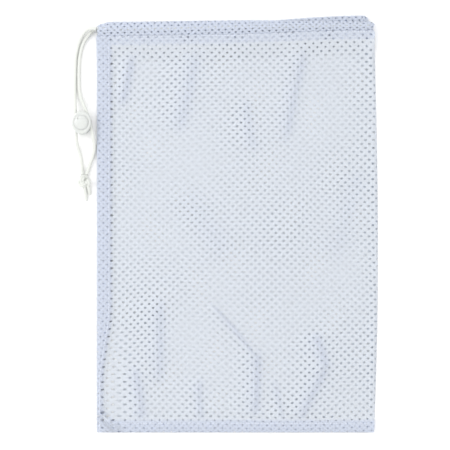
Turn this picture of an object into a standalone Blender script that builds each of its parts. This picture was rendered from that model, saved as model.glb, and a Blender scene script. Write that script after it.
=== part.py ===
"""Mesh laundry bag lying flat, with a drawcord casing, a cord lock and a knotted drawcord.

Metres, +Z up. The bag lies on z = 0 with its mouth towards +Y and the drawcord's ends on its
left, at -X. The origin is at the middle of the bag's underside.
"""

import math

import bmesh
import bpy
from mathutils import Vector

MM = 0.001

# Driving dimensions of the bag
HALF_WIDTH = 153.5 * MM
HALF_LENGTH = 227.5 * MM
MOUTH_HALF_WIDTH = 149.0 * MM
CLOTH = 1.2 * MM
GAP = 0.3 * MM
CASING_GAP = 0.8 * MM
SEAM_WIDTH = 15.0 * MM
SEAM_THICKNESS = 1.6 * MM
HEM_WIDTH = 12.0 * MM

# How the upper panel stands off the lower one
LOFT = 10.6 * MM
MOUTH_LOFT = 12.2 * MM
LOFT_BORDER = 4.0 * MM
LOFT_RISE = 26.0 * MM

# Drawcord and its casing
CORD_DIAMETER = 3.6 * MM
CASING_WIDTH = 15.2 * MM
CASING_THICKNESS = 5.3 * MM
CASING_WALL = 0.5 * MM
CASING_EDGE_WALL = 1.0 * MM
CASING_LEFT = -152.6 * MM
CASING_TURN_X = 143.0 * MM
CASING_TURN_RADIUS = 2.85 * MM
CASING_LOW_Z = 2.8 * MM
CASING_STEPS = 62
CASING_SIDES = 14

# Stitching rows
THREAD_WIDTH = 0.9 * MM
THREAD_HEIGHT = 0.5 * MM

# Cord lock
LOCK_X = -169.7 * MM
LOCK_Y = 110.3 * MM
LOCK_HALF_X = 10.7 * MM
LOCK_HALF_Y = 12.5 * MM
LOCK_HEIGHT = 12.6 * MM
LOCK_ROUNDING = 1.6 * MM
LOCK_FLOOR = 0.9 * MM
CORD_IN_LOCK_Z = 7.0 * MM
SLOT_HALF_HEIGHT = 2.2 * MM
HUB_HALF_X = 4.2 * MM
HUB_HALF_Y = 7.0 * MM
BUTTON_RADIUS = 7.5 * MM
BUTTON_THICKNESS = 2.4 * MM
BUTTON_REST_Z = 12.8 * MM
BUTTON_RUNNING_GAP = 0.4 * MM
BUTTON_TRAVEL = 2.0 * MM
STEM_RADIUS = 2.6 * MM
WELL_RADIUS = 1.9 * MM
WELL_TOP = 11.6 * MM
BAR_HALF_X = 9.3 * MM
BAR_HALF_Y = 2.2 * MM
BAR_TOP = 4.9 * MM
BAR_BOTTOM = 3.0 * MM
SPRING_COIL_RADIUS = 1.3 * MM
SPRING_WIRE = 0.5 * MM
SPRING_TURNS = 7

# Knot
KNOT_CENTRE = (-167.4 * MM, 46.4 * MM, 4.4 * MM)
KNOT_RADII = (6.6 * MM, 7.0 * MM, 4.2 * MM)

# Routes of the drawcord's free ends, from the casing to the knot, in millimetres
LEFT_ROUTE = [
    (-153.5, 212.5, 8.5),
    (-157.6, 212.8, 8.3),
    (-161.6, 212.7, 6.7),
    (-166.0, 210.4, 4.4),
    (-170.2, 205.2, 2.6),
    (-173.2, 198.6, 1.9),
    (-175.4, 190.6, 1.8),
    (-177.0, 181.0, 1.8),
    (-177.6, 168.0, 1.8),
    (-177.8, 155.0, 1.8),
    (-177.8, 144.0, 2.2),
    (-177.4, 135.5, 4.6),
    (-176.9, 128.0, 6.8),
    (-176.4, 120.0, 7.0),
    (-176.3, 110.3, 7.0),
    (-176.0, 101.0, 7.0),
    (-175.6, 93.0, 6.6),
    (-174.7, 86.0, 4.4),
    (-173.2, 79.5, 2.2),
    (-171.5, 73.5, 1.8),
    (-170.4, 66.0, 1.8),
    (-169.9, 59.5, 2.2),
    (-169.6, 53.8, 3.2),
]
RIGHT_ROUTE = [
    (-153.5, 212.0, 2.8),
    (-157.2, 211.6, 2.7),
    (-160.3, 209.2, 2.2),
    (-163.2, 205.6, 1.8),
    (-166.6, 200.8, 1.8),
    (-169.4, 195.0, 1.8),
    (-171.3, 188.0, 1.8),
    (-172.6, 179.5, 1.8),
    (-173.2, 168.0, 1.8),
    (-173.2, 156.0, 1.8),
    (-172.6, 145.0, 1.9),
    (-170.6, 136.5, 3.4),
    (-167.6, 129.8, 6.0),
    (-164.9, 123.4, 7.0),
    (-162.5, 116.0, 7.0),
    (-160.6, 109.0, 7.0),
    (-158.7, 101.5, 7.0),
    (-157.2, 94.5, 6.4),
    (-156.4, 88.0, 3.9),
    (-156.5, 81.5, 2.0),
    (-158.0, 74.5, 1.8),
    (-160.4, 67.5, 1.8),
    (-162.8, 60.5, 2.2),
    (-164.8, 54.0, 3.2),
]
LONG_TAIL = [(-166.9, 38.7, 2.9), (-166.3, 34.0, 2.0), (-165.6, 29.5, 1.8), (-165.0, 25.4, 1.8)]
SHORT_TAIL = [(-162.6, 39.9, 2.9), (-161.9, 36.0, 2.0), (-161.4, 32.0, 1.8)]


# ---------------------------------------------------------------- helpers


def clear_scene():
    for obj in list(bpy.data.objects):
        bpy.data.objects.remove(obj, do_unlink=True)


def material(name, colour, roughness, metallic=0.0):
    found = bpy.data.materials.get(name)
    if found:
        return found
    made = bpy.data.materials.new(name)
    made.use_nodes = True
    shader = made.node_tree.nodes["Principled BSDF"]
    shader.inputs["Base Color"].default_value = (*colour, 1.0)
    shader.inputs["Roughness"].default_value = roughness
    shader.inputs["Metallic"].default_value = metallic
    return made


def mesh_cloth():
    return material("mesh_cloth", (0.78, 0.83, 0.92), 0.75)


def sewing_thread():
    return material("sewing_thread", (0.84, 0.87, 0.95), 0.6)


def braided_cord():
    return material("braided_cord", (0.90, 0.91, 0.88), 0.8)


def white_plastic():
    return material("white_plastic", (0.92, 0.93, 0.92), 0.35)


def spring_steel():
    return material("spring_steel", (0.70, 0.70, 0.72), 0.3, 1.0)


def add_mesh(name, bm, finish, origin=(0, 0, 0), smooth=False):
    """Turn a bmesh in world coordinates into an object whose origin is at origin."""
    bmesh.ops.recalc_face_normals(bm, faces=bm.faces)
    bmesh.ops.translate(bm, verts=bm.verts, vec=-Vector(origin))
    mesh = bpy.data.meshes.new(name)
    bm.to_mesh(mesh)
    bm.free()
    if smooth:
        mesh.shade_smooth()
        mesh.set_sharp_from_angle(angle=math.radians(35))
    mesh.materials.append(finish)
    obj = bpy.data.objects.new(name, mesh)
    obj.location = origin
    bpy.context.collection.objects.link(obj)
    return obj


def cut(obj, cutter):
    """Subtract cutter from obj with a Boolean, and keep the cutter out of the model."""
    cutter.hide_render = True
    cutter.display_type = "WIRE"
    boolean = obj.modifiers.new("cut_" + cutter.name, "BOOLEAN")
    boolean.operation = "DIFFERENCE"
    boolean.solver = "EXACT"
    boolean.object = cutter


def unite(obj, other):
    other.hide_render = True
    other.display_type = "WIRE"
    boolean = obj.modifiers.new("join_" + other.name, "BOOLEAN")
    boolean.operation = "UNION"
    boolean.solver = "EXACT"
    boolean.object = other


def smoothstep(t):
    t = min(max(t, 0.0), 1.0)
    return t * t * (3 - 2 * t)


def curve_through(points, t):
    """Point of the Catmull-Rom curve through points, t running from 0 to len(points) - 1."""
    last = len(points) - 1
    i = min(int(t), last - 1)
    f = t - i
    p0 = points[max(i - 1, 0)]
    p1 = points[i]
    p2 = points[i + 1]
    p3 = points[min(i + 2, last)]
    out = []
    for a, b, c, d in zip(p0, p1, p2, p3):
        out.append(
            0.5 * (2 * b + (c - a) * f + (2 * a - 5 * b + 4 * c - d) * f * f
                   + (3 * b - a - 3 * c + d) * f ** 3)
        )
    return Vector(out)


def smooth_route(route, spacing):
    """Evenly spaced points, about spacing apart, on the smooth curve through a route in millimetres."""
    points = [Vector(p) * MM for p in route]
    fine = [curve_through(points, (len(points) - 1) * i / 600) for i in range(601)]
    travelled = [0.0]
    for a, b in zip(fine, fine[1:]):
        travelled.append(travelled[-1] + (b - a).length)
    count = max(2, round(travelled[-1] / spacing))
    out = []
    j = 0
    for i in range(count + 1):
        target = travelled[-1] * i / count
        while j < 599 and travelled[j + 1] < target:
            j += 1
        f = (target - travelled[j]) / (travelled[j + 1] - travelled[j])
        out.append(fine[j].lerp(fine[j + 1], min(f, 1.0)))
    return out


def tube(name, points, diameter, finish):
    """Round cord: a POLY curve with a bevel and filled caps."""
    curve = bpy.data.curves.new(name, "CURVE")
    curve.dimensions = "3D"
    curve.bevel_depth = diameter / 2
    curve.bevel_resolution = 2
    curve.use_fill_caps = True
    spline = curve.splines.new("POLY")
    spline.points.add(len(points) - 1)
    for slot, point in zip(spline.points, points):
        slot.co = (*point, 1.0)
    spline.use_smooth = True
    curve.materials.append(finish)
    obj = bpy.data.objects.new(name, curve)
    bpy.context.collection.objects.link(obj)
    return obj


# ---------------------------------------------------------------- the bag's shape


def left_edge(y):
    """The sewn side is straight."""
    return -HALF_WIDTH


def right_edge(y):
    """The folded side bulges a little, most below the middle, and narrows to the mouth and the hem."""
    t = (y + HALF_LENGTH) / (2 * HALF_LENGTH)
    bulge = math.sin(math.pi * t ** 0.85)
    return MOUTH_HALF_WIDTH + (HALF_WIDTH - MOUTH_HALF_WIDTH) * bulge


def upper_underside(x, y):
    """Height of the upper panel's underside: low along the seams, lofted between them."""
    from_left = x - left_edge(y)
    from_right = right_edge(y) - x
    from_hem = y + HALF_LENGTH
    fold_z = lower_underside(x, y) + CLOTH + GAP
    seam_z = fold_z + SEAM_THICKNESS + GAP
    top = LOFT + (MOUTH_LOFT - LOFT) * smoothstep((y - 0.12) / 0.08)
    z = top
    for distance, base in ((from_left, seam_z), (from_hem, seam_z), (from_right, fold_z)):
        z = min(z, base + (top - base) * smoothstep((distance - LOFT_BORDER) / LOFT_RISE))
    if min(from_left, from_hem) < SEAM_WIDTH:
        z = max(z, seam_z)
    return z


def lower_underside(x, y):
    """The lower panel lies on the ground and lifts a little where its casing starts."""
    return 1.6 * MM * smoothstep((y - 190 * MM) / (14 * MM))


def casing_front_y(x):
    """Middle of the upper run of the casing, which rises slightly towards the folded side."""
    return (212.5 + 3.5 * smoothstep((x + 0.15) / 0.30)) * MM


def casing_back_y(x):
    """Middle of the lower run, which shows past the upper run near the folded side."""
    return (212.0 + 8.1 * smoothstep((x + 0.02) / 0.15)) * MM


def casing_front_z(x):
    """Height of the upper run: on the lower run at both ends, lofted between them."""
    low = CASING_LOW_Z + 2 * CASING_TURN_RADIUS
    high = MOUTH_LOFT + CLOTH / 2
    rise = smoothstep((x - CASING_LEFT - 8 * MM) / (30 * MM))
    fall = smoothstep((CASING_TURN_X - x - 3 * MM) / (30 * MM))
    return low + (high - low) * rise * fall


def casing_path():
    """Centre line of the drawcord's tunnel: along the upper run, round the fold, back along the lower run."""
    points = []
    half = CASING_STEPS // 2
    span = CASING_TURN_X - CASING_LEFT
    for i in range(half):
        x = CASING_LEFT + span * i / half
        points.append(Vector((x, casing_front_y(x), casing_front_z(x))))
    turn_z = CASING_LOW_Z + CASING_TURN_RADIUS
    start_y = casing_front_y(CASING_TURN_X)
    end_y = casing_back_y(CASING_TURN_X)
    turn_steps = 8
    for i in range(turn_steps + 1):
        angle = math.pi * (0.5 - i / turn_steps)
        y = start_y + (end_y - start_y) * i / turn_steps
        x = CASING_TURN_X + CASING_TURN_RADIUS * math.cos(angle)
        z = turn_z + CASING_TURN_RADIUS * math.sin(angle)
        points.append(Vector((x, y, z)))
    for i in range(1, half + 1):
        x = CASING_TURN_X - span * i / half
        points.append(Vector((x, casing_back_y(x), CASING_LOW_Z)))
    return points


# ---------------------------------------------------------------- the bag's pieces


def panel(name, underside, bottom, top_edge, columns, rows):
    """A sheet of cloth as a closed solid between the side edges, from bottom up to top_edge(x)."""
    bm = bmesh.new()
    grids = []
    for lift in (0.0, CLOTH):
        grid = []
        for r in range(rows + 1):
            line = []
            for c in range(columns + 1):
                t = c / columns
                y_guess = bottom + (top_edge(0.0) - bottom) * r / rows
                x = left_edge(y_guess) + (right_edge(y_guess) - left_edge(y_guess)) * t
                y = bottom + (top_edge(x) - bottom) * r / rows
                line.append(bm.verts.new((x, y, underside(x, y) + lift)))
            grid.append(line)
        grids.append(grid)
    low, high = grids
    for r in range(rows):
        for c in range(columns):
            bm.faces.new((low[r][c], low[r + 1][c], low[r + 1][c + 1], low[r][c + 1]))
            bm.faces.new((high[r][c], high[r][c + 1], high[r + 1][c + 1], high[r + 1][c]))
    border = [(0, c) for c in range(columns)]
    border += [(r, columns) for r in range(rows)]
    border += [(rows, c) for c in range(columns, 0, -1)]
    border += [(r, 0) for r in range(rows, 0, -1)]
    for (r0, c0), (r1, c1) in zip(border, border[1:] + border[:1]):
        bm.faces.new((low[r0][c0], low[r1][c1], high[r1][c1], high[r0][c0]))
    return add_mesh(name, bm, mesh_cloth(), smooth=True)


def front_panel():
    return panel(
        "front_panel", upper_underside, -HALF_LENGTH,
        lambda x: casing_front_y(x) - CASING_WIDTH / 2 - CASING_GAP, 26, 34,
    )


def back_panel():
    return panel(
        "back_panel", lower_underside, -HALF_LENGTH,
        lambda x: casing_back_y(x) - CASING_WIDTH / 2 - CASING_GAP, 12, 24,
    )


def slab(name, low, high, finish):
    """Plain box, bevelled along its edges, between two corners."""
    bm = bmesh.new()
    bmesh.ops.create_cube(bm, size=1.0)
    centre = (Vector(low) + Vector(high)) / 2
    size = Vector(high) - Vector(low)
    bmesh.ops.scale(bm, verts=bm.verts, vec=size)
    bmesh.ops.bevel(bm, geom=bm.edges, offset=0.4 * MM, segments=1, affect="EDGES")
    bmesh.ops.translate(bm, verts=bm.verts, vec=centre)
    return add_mesh(name, bm, finish)


def side_seam():
    """Seam allowance of the sewn side, between the two panels."""
    z = CLOTH + GAP
    return slab(
        "side_seam",
        (-HALF_WIDTH + 0.8 * MM, -HALF_LENGTH + HEM_WIDTH + 2 * GAP, z),
        (-HALF_WIDTH + SEAM_WIDTH, 188 * MM, z + SEAM_THICKNESS),
        mesh_cloth(),
    )


def bottom_seam():
    """Seam allowance of the bottom, between the two panels."""
    z = CLOTH + GAP
    return slab(
        "bottom_seam",
        (-HALF_WIDTH + 0.8 * MM, -HALF_LENGTH + 0.8 * MM, z),
        (MOUTH_HALF_WIDTH - 6 * MM, -HALF_LENGTH + HEM_WIDTH, z + SEAM_THICKNESS),
        mesh_cloth(),
    )


def drawcord_casing():
    """Turned-down hem round the mouth: a flat tube along the casing path, open at its two left ends."""
    path = casing_path()
    bm = bmesh.new()
    outer_rings = []
    inner_rings = []
    for i, point in enumerate(path):
        ahead = path[min(i + 1, len(path) - 1)]
        behind = path[max(i - 1, 0)]
        tangent = ahead - behind
        tangent.y = 0
        tangent.normalize()
        across = Vector((0, 1, 0))
        up = tangent.cross(across)
        rings = []
        for half_width, half_height in (
            (CASING_WIDTH / 2, CASING_THICKNESS / 2),
            (CASING_WIDTH / 2 - CASING_EDGE_WALL, CASING_THICKNESS / 2 - CASING_WALL),
        ):
            ring = []
            for s in range(CASING_SIDES):
                angle = 2 * math.pi * (s + 0.5) / CASING_SIDES
                place = point + across * half_width * math.cos(angle) + up * half_height * math.sin(angle)
                ring.append(bm.verts.new(place))
            rings.append(ring)
        outer_rings.append(rings[0])
        inner_rings.append(rings[1])
    for rings in (outer_rings, inner_rings):
        for a, b in zip(rings, rings[1:]):
            for s in range(CASING_SIDES):
                n = (s + 1) % CASING_SIDES
                bm.faces.new((a[s], a[n], b[n], b[s]))
    for end in (0, -1):
        outer, inner = outer_rings[end], inner_rings[end]
        for s in range(CASING_SIDES):
            n = (s + 1) % CASING_SIDES
            bm.faces.new((outer[s], outer[n], inner[n], inner[s]))
    return add_mesh("drawcord_casing", bm, mesh_cloth(), smooth=True)


def stitch_row(name, points):
    """A row of stitches as one thin bar lying along points."""
    bm = bmesh.new()
    rings = []
    for i, point in enumerate(points):
        ahead = points[min(i + 1, len(points) - 1)]
        behind = points[max(i - 1, 0)]
        tangent = (ahead - behind).normalized()
        across = Vector((0, 0, 1)).cross(tangent).normalized() * THREAD_WIDTH / 2
        lift = Vector((0, 0, THREAD_HEIGHT))
        corners = (point - across, point + across, point + across + lift, point - across + lift)
        rings.append([bm.verts.new(corner) for corner in corners])
    for a, b in zip(rings, rings[1:]):
        for s in range(4):
            n = (s + 1) % 4
            bm.faces.new((a[s], a[n], b[n], b[s]))
    bm.faces.new(rings[0])
    bm.faces.new(list(reversed(rings[-1])))
    return add_mesh(name, bm, sewing_thread())


def on_upper_panel(x, y):
    """A point just above the upper panel."""
    return Vector((x, y, upper_underside(x, y) + CLOTH + 2 * GAP))


def side_stitching():
    x = -HALF_WIDTH + SEAM_WIDTH - 2 * MM
    return stitch_row(
        "side_stitching", [on_upper_panel(x, (-225 + 425 * i / 34) * MM) for i in range(35)]
    )


def bottom_stitching():
    y = -HALF_LENGTH + HEM_WIDTH - 2 * MM
    return stitch_row(
        "bottom_stitching", [on_upper_panel((-136 + 280 * i / 28) * MM, y) for i in range(29)]
    )


def casing_stitching():
    """The row that closes the casing, seen on the upper panel just below it."""
    points = []
    for i in range(31):
        x = (-138 + 280 * i / 30) * MM
        points.append(on_upper_panel(x, casing_front_y(x) - CASING_WIDTH / 2 - 2.2 * MM))
    return stitch_row("casing_stitching", points)


# ---------------------------------------------------------------- drawcord


def drawcord_run():
    """The stretch of drawcord inside the casing, standing 0.3 mm out of its two left ends."""
    points = casing_path()
    points[0] = points[0] - Vector((GAP, 0, 0))
    points[-1] = points[-1] - Vector((GAP, 0, 0))
    return tube("drawcord_run", points, CORD_DIAMETER, braided_cord())


def cord_ends():
    for name, route in (("cord_left", LEFT_ROUTE), ("cord_right", RIGHT_ROUTE)):
        tube(name, smooth_route(route, 4.5 * MM), CORD_DIAMETER, braided_cord())
    for name, route in (("tail_long", LONG_TAIL), ("tail_short", SHORT_TAIL)):
        tube(name, smooth_route(route, 4 * MM), CORD_DIAMETER, braided_cord())


def end_knot():
    """Overhand knot of both cords, as the lump that it fills."""
    bm = bmesh.new()
    bmesh.ops.create_icosphere(bm, subdivisions=3, radius=1.0)
    bmesh.ops.scale(bm, verts=bm.verts, vec=KNOT_RADII)
    bmesh.ops.translate(bm, verts=bm.verts, vec=KNOT_CENTRE)
    return add_mesh("end_knot", bm, braided_cord(), smooth=True)


# ---------------------------------------------------------------- cord lock


def oval_drum(bm, half_x, half_y, low, high, rounding, segments=40):
    """Closed oval drum with rounded rims, centred on the z axis."""
    profile = []
    steps = 3
    for i in range(steps + 1):
        angle = math.pi / 2 * i / steps
        profile.append((rounding * (1 - math.sin(angle)), low + rounding * (1 - math.cos(angle))))
    for i in range(steps + 1):
        angle = math.pi / 2 * i / steps
        profile.append((rounding * (1 - math.cos(angle)), high - rounding * (1 - math.sin(angle))))
    rings = []
    for inset, z in profile:
        ring = []
        for s in range(segments):
            angle = 2 * math.pi * s / segments
            x = (half_x - inset) * math.cos(angle)
            y = (half_y - inset) * math.sin(angle)
            ring.append(bm.verts.new((x, y, z)))
        rings.append(ring)
    for a, b in zip(rings, rings[1:]):
        for s in range(segments):
            n = (s + 1) % segments
            bm.faces.new((a[s], a[n], b[n], b[s]))
    bm.faces.new(list(reversed(rings[0])))
    bm.faces.new(rings[-1])


def lock_piece(name, bm):
    """A lock's piece, made round the z axis and put at the lock's place."""
    bmesh.ops.translate(bm, verts=bm.verts, vec=(LOCK_X, LOCK_Y, 0))
    return add_mesh(name, bm, white_plastic(), origin=(LOCK_X, LOCK_Y, 0), smooth=True)


def box_at_lock(name, low, high):
    bm = bmesh.new()
    bmesh.ops.create_cube(bm, size=1.0)
    bmesh.ops.scale(bm, verts=bm.verts, vec=Vector(high) - Vector(low))
    bmesh.ops.translate(bm, verts=bm.verts, vec=(Vector(high) + Vector(low)) / 2)
    return lock_piece(name, bm)


def cylinder_at_lock(name, radius, low, high, segments=32):
    bm = bmesh.new()
    bmesh.ops.create_cone(
        bm, cap_ends=True, segments=segments, radius1=radius, radius2=radius, depth=high - low
    )
    bmesh.ops.translate(bm, verts=bm.verts, vec=(0, 0, (low + high) / 2))
    return lock_piece(name, bm)


def lock_barrel():
    """Two oval plates joined by a hub. The cords pass on each side of the hub."""
    bm = bmesh.new()
    oval_drum(bm, LOCK_HALF_X, LOCK_HALF_Y, 0.0, LOCK_HEIGHT, LOCK_ROUNDING)
    barrel = lock_piece("lock_barrel", bm)
    slot_low = CORD_IN_LOCK_Z - SLOT_HALF_HEIGHT
    slot_high = CORD_IN_LOCK_Z + SLOT_HALF_HEIGHT
    far = 20 * MM
    for side, name in ((-1, "left_channel"), (1, "right_channel")):
        xs = sorted((side * HUB_HALF_X, side * far))
        cut(barrel, box_at_lock(name, (xs[0], -far, slot_low), (xs[1], far, slot_high)))
    for side, name in ((-1, "lower_mouth"), (1, "upper_mouth")):
        ys = sorted((side * HUB_HALF_Y, side * far))
        cut(barrel, box_at_lock(
            name, (-HUB_HALF_X - 1 * MM, ys[0], slot_low), (HUB_HALF_X + 1 * MM, ys[1], slot_high)
        ))
    clear = BUTTON_RUNNING_GAP
    cut(barrel, box_at_lock(
        "bar_pocket",
        (-BAR_HALF_X - clear, -BAR_HALF_Y - clear, LOCK_FLOOR),
        (BAR_HALF_X + clear, BAR_HALF_Y + clear, BAR_TOP + GAP),
    ))
    cut(barrel, cylinder_at_lock("stem_bore", STEM_RADIUS + clear, LOCK_FLOOR, LOCK_HEIGHT + 1 * MM))
    recess_floor = BUTTON_REST_Z - BUTTON_TRAVEL - 0.2 * MM
    cut(barrel, cylinder_at_lock(
        "button_recess", BUTTON_RADIUS + clear, recess_floor, LOCK_HEIGHT + 1 * MM, segments=40
    ))
    return barrel


def lock_plunger():
    """Push button, stem and the bar that presses the cords against the upper plate."""
    bm = bmesh.new()
    oval_drum(
        bm, BUTTON_RADIUS, BUTTON_RADIUS, BUTTON_REST_Z, BUTTON_REST_Z + BUTTON_THICKNESS,
        0.7 * MM, segments=36,
    )
    plunger = lock_piece("lock_plunger", bm)
    unite(plunger, cylinder_at_lock(
        "stem", STEM_RADIUS, BAR_TOP - 0.5 * MM, BUTTON_REST_Z + 0.5 * MM, segments=24
    ))
    unite(plunger, box_at_lock(
        "bar", (-BAR_HALF_X, -BAR_HALF_Y, BAR_BOTTOM), (BAR_HALF_X, BAR_HALF_Y, BAR_TOP)
    ))
    cut(plunger, cylinder_at_lock(
        "spring_well", WELL_RADIUS, BAR_BOTTOM - 1 * MM, WELL_TOP, segments=20
    ))
    return plunger


def lock_spring():
    """Return spring between the barrel's floor and the top of the plunger's well."""
    low = LOCK_FLOOR + GAP + SPRING_WIRE / 2
    high = WELL_TOP - GAP - SPRING_WIRE / 2
    per_turn = 10
    points = []
    for i in range(SPRING_TURNS * per_turn + 1):
        angle = 2 * math.pi * i / per_turn
        x = LOCK_X + SPRING_COIL_RADIUS * math.cos(angle)
        y = LOCK_Y + SPRING_COIL_RADIUS * math.sin(angle)
        z = low + (high - low) * i / (SPRING_TURNS * per_turn)
        points.append((x, y, z))
    return tube("lock_spring", points, SPRING_WIRE, spring_steel())


def main():
    clear_scene()
    back_panel()
    front_panel()
    side_seam()
    bottom_seam()
    drawcord_casing()
    side_stitching()
    bottom_stitching()
    casing_stitching()
    drawcord_run()
    cord_ends()
    end_knot()
    lock_barrel()
    lock_plunger()
    lock_spring()


main()
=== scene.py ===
import math

import bmesh
import bpy
import numpy as np
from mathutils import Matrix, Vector


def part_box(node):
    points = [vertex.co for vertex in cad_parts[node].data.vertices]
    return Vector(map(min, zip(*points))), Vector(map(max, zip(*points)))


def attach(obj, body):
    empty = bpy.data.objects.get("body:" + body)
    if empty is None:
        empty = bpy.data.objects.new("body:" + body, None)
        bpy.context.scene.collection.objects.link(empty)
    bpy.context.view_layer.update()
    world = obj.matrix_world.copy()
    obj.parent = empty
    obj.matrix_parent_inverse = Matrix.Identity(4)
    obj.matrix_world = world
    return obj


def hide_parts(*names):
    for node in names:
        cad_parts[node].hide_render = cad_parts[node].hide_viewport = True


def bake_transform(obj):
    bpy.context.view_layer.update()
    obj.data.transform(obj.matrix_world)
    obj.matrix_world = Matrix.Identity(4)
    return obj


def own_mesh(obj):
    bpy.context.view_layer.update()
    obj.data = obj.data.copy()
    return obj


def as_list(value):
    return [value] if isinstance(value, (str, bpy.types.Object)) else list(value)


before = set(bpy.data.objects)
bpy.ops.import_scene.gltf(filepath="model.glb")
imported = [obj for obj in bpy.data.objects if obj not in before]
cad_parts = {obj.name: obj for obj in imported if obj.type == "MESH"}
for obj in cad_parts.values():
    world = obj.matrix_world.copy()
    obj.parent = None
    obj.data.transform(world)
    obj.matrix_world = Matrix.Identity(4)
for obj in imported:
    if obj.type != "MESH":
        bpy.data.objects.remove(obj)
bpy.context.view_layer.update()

MM = 0.001

# ---- places read from the frame

PANEL_LOW, PANEL_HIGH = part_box("back_panel")
UPPER_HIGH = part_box("front_panel")[1]
CASING_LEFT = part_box("drawcord_casing")[0].x
LOCK_LOW, LOCK_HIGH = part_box("lock_barrel")
KNOT_LOW, KNOT_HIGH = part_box("end_knot")
SPRING_LOW, SPRING_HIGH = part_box("lock_spring")

LEFT = PANEL_LOW.x
RIGHT = PANEL_HIGH.x
BOTTOM = PANEL_LOW.y
PANEL_TOP = UPPER_HIGH.y
LOCK_CENTRE = (LOCK_LOW + LOCK_HIGH) / 2
KNOT_CENTRE = (KNOT_LOW + KNOT_HIGH) / 2

# ---- dimensions

# Half the cloth's thickness, height of the lower layer's middle, and from there to the upper layer's
CLOTH_HALF = 0.22 * MM
LOWER_MIDDLE = 0.44 * MM
LAYER_STEP = 0.66 * MM

# Share of the light that yarn lets through
CLOTH_LIGHT_THROUGH = 0.35

# The folded side bows out between its ends, which lie this far in
FOLD_BOW = 4.5 * MM

# Seams: the side seam narrows from SEAM_NARROWS_Y down, the stitches run SEWN_INSIDE from the
# allowances' edge, and the upper cloth lies highest on the seams and lower at the outline
SEAM_WIDTH = 15.0 * MM
SEAM_WIDTH_AT_CORNER = 5.0 * MM
SEAM_NARROWS_Y = -90 * MM
SEAM_NARROWS_OVER = 85 * MM
HEM_WIDTH = 12.0 * MM
SEWN_INSIDE = 2.0 * MM
SIDE_STITCHES_TOP_Y = 196 * MM
SEAM_MIDDLE = 4.3 * MM
OUTLINE_MIDDLE = 2.8 * MM
GROOVE_DEPTH = 0.5 * MM
GROOVE_WIDTH = 1.1 * MM
PUCKER_PLACE = 5 * MM

# How far the cloth takes to level out beside the side seam, the hem and the outline, how far from the
# folded side it is free to fold, and its slopes up to the casing on the upper and the lower side
SIDE_EASE = 7 * MM
HEM_EASE = 8 * MM
OUTLINE_EASE = 3 * MM
FOLD_FREE = 20 * MM
UPPER_SLOPE = 29 * MM
LOWER_SLOPE = 31 * MM
LOWER_SLOPE_Y = 174 * MM

# Swell of the upper cloth along the folded side, and the lower cloth's ripples and turned-up outline
LOFT = 2.6 * MM
LOFT_RISE = 2.4 * MM
LOFT_FALL = 9 * MM
RIPPLE = 0.15 * MM
TURN_UP = 0.9 * MM

# Crease across the sewn corner: where it crosses the hem, how far it runs up and down from there, and
# over how much of each way it fades out
CREASE_X = 14 * MM
CREASE_UP = 22 * MM
CREASE_DOWN = 19 * MM
CREASE_UP_FADE = 8 * MM
CREASE_DOWN_FADE = 6 * MM

# Allowances inside the seams: where they start and end, their two heights, their lift at the mouth, and
# the width in which their darker, bluer painted shade gives way to the single cloth's
ALLOWANCE_START = 2.6 * MM
ALLOWANCE_TOP_Y = 190 * MM
ALLOWANCE_HEIGHTS = (1.95 * MM, 3.05 * MM)
ALLOWANCE_LIFT = 2.0 * MM
ALLOWANCE_LIFT_Y = 178 * MM
ALLOWANCE_LIFT_LENGTH = 14 * MM
LAYER_EDGE = 2.5 * MM

# Staggered holes of the mesh: half the distance between holes of a row and between rows, half the
# size of a hole, how far the lower layer is turned, and the column of holes beside the side seam
HALF_PITCH_X = 4.36 * MM
HALF_PITCH_Y = 4.14 * MM
HOLE_RX = 1.54 * MM
HOLE_RY = 1.14 * MM
LOWER_TURN = math.radians(5.0)
SEAM_HOLES_X = LEFT + SEAM_WIDTH + 0.9 * MM
LOWER_SPLIT_X = SEAM_HOLES_X + 2.4 * MM

# Casing: its section, the places of its two runs at the sewn side, their rise towards the folded side,
# where it turns round there, and the width of the hem that lies under its sewn line
CORD_DIAMETER = 3.6 * MM
CASING_HALF_WIDTH = 7.6 * MM
CASING_HALF_WIDTH_AT_FOLD = 5.0 * MM
CASING_HALF_HEIGHT = 0.7 * MM
CORD_BULGE = 1.55 * MM
CORD_BULGE_WIDTH = 4.4 * MM
CASING_FRONT_Y = 212.5 * MM
CASING_FRONT_RISE = 3.5 * MM
CASING_BACK_Y = 212.0 * MM
CASING_BACK_RISE = 8.1 * MM
CASING_RISE_HALF = 150 * MM
NEAR_FOLD_X = -20 * MM
NEAR_FOLD_LENGTH = 150 * MM
CASING_TURN_RADIUS = 2.85 * MM
CASING_TURN_X = 143.0 * MM
CASING_LOW_Z = 2.8 * MM
CASING_UPPER_Z = CASING_LOW_Z + 2 * CASING_TURN_RADIUS
CASING_CORNER_Y = 218.4 * MM
FOLD_ROUNDING = 7.0 * MM
FLANGE = 10.5 * MM
CORNER_DROOP = 4.6 * MM
CORNER_DROOP_LENGTH = 20 * MM

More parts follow.
